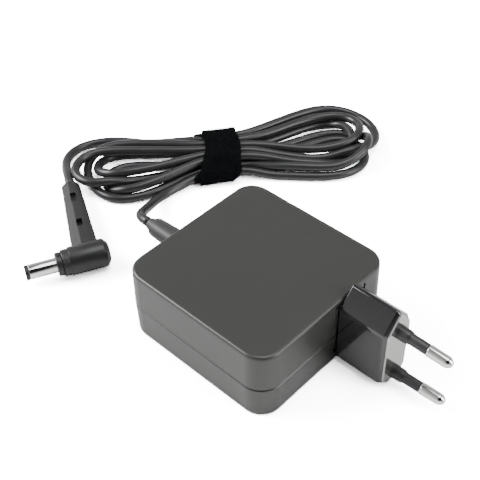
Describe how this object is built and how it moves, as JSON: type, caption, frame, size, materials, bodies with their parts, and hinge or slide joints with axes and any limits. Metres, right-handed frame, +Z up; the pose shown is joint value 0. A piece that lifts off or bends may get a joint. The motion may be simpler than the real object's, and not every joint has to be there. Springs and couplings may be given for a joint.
{
  "type": "laptop power adapter",
  "caption": "Square black wall-block laptop power adapter with a pull-out plug head, round mains pins, a tied DC lead and a right-angle barrel plug.",
  "frame": {"origin": "centre of the block's flat underside", "axes": "+X the way the mains pins point, +Z up through the block's thickness, the DC lead leaves through the -X wall"},
  "size_m": [0.1884, 0.1568, 0.0308],
  "materials": {
    "housing_black": "fine satin moulded texture",
    "plug_head_black": "glossy moulded",
    "face_plate_grey": "glossy moulded",
    "pin_sleeve_black": "satin moulded",
    "nickel_plate": "bright nickel plating",
    "cord_black": "smooth satin sheath",
    "strap_fabric": "napped loop pile",
    "contact_brass": "rolled strip",
    "board_laminate": "lacquered laminate",
    "insulation_film": "smooth film",
    "fuse_ceramic": "smooth tube",
    "copper_wire": "enamelled copper winding",
    "capacitor_box_yellow": "moulded box",
    "component_black": "moulded epoxy",
    "capacitor_sleeve": "shrink sleeve",
    "ferrite": "sintered ferrite",
    "winding_tape": "polyester tape",
    "heat_sink_aluminium": "rolled sheet",
    "disc_capacitor_blue": "dipped lacquer",
    "wire_red": "insulated wire",
    "wire_black": "insulated wire"
  },
  "bodies": {
    "block": {"top_shell": "housing_black", "bottom_shell": "housing_black", "insulation_sheet": "insulation_film", "circuit_board": "board_laminate", "contact_spring_live": "contact_brass", "contact_spring_neutral": "contact_brass", "fuse": "fuse_ceramic", "common_mode_choke": "copper_wire", "x_capacitor": "capacitor_box_yellow", "bridge_rectifier": "component_black", "bulk_capacitor_1": "capacitor_sleeve", "bulk_capacitor_2": "capacitor_sleeve", "transformer_core": "ferrite", "transformer_winding": "winding_tape", "switching_transistor": "component_black", "primary_heat_sink": "heat_sink_aluminium", "optocoupler": "component_black", "controller_chip": "component_black", "y_capacitor": "disc_capacitor_blue", "output_rectifier": "component_black", "secondary_heat_sink": "heat_sink_aluminium", "output_capacitor_1": "capacitor_sleeve", "output_capacitor_2": "capacitor_sleeve", "output_choke": "copper_wire", "output_wire_positive": "wire_red", "output_wire_negative": "wire_black", "cord_strain_relief": "cord_black", "cord_lead_in": "cord_black", "cord_hank": "cord_black", "cord_lead_out": "cord_black", "hook_and_loop_strap": "strap_fabric", "dc_strain_relief": "cord_black", "dc_plug_body": "cord_black", "dc_plug_nose": "cord_black", "dc_barrel": "nickel_plate", "dc_tip_ring": "component_black", "dc_inner_contact": "contact_brass"},
    "plug_head": {"plug_head_housing": "plug_head_black", "plug_face_plate": "face_plate_grey", "plug_pin_upper": "nickel_plate", "plug_pin_lower": "nickel_plate", "pin_sleeve_upper": "pin_sleeve_black", "pin_sleeve_lower": "pin_sleeve_black", "head_contact_upper": "contact_brass", "head_contact_lower": "contact_brass"}
  },
  "joints": [
    {"name": "plug_head_pull", "type": "slide", "parent": "block", "child": "plug_head", "axis": [1, 0, 0], "range_m": [0, 0.015]}
  ]
}
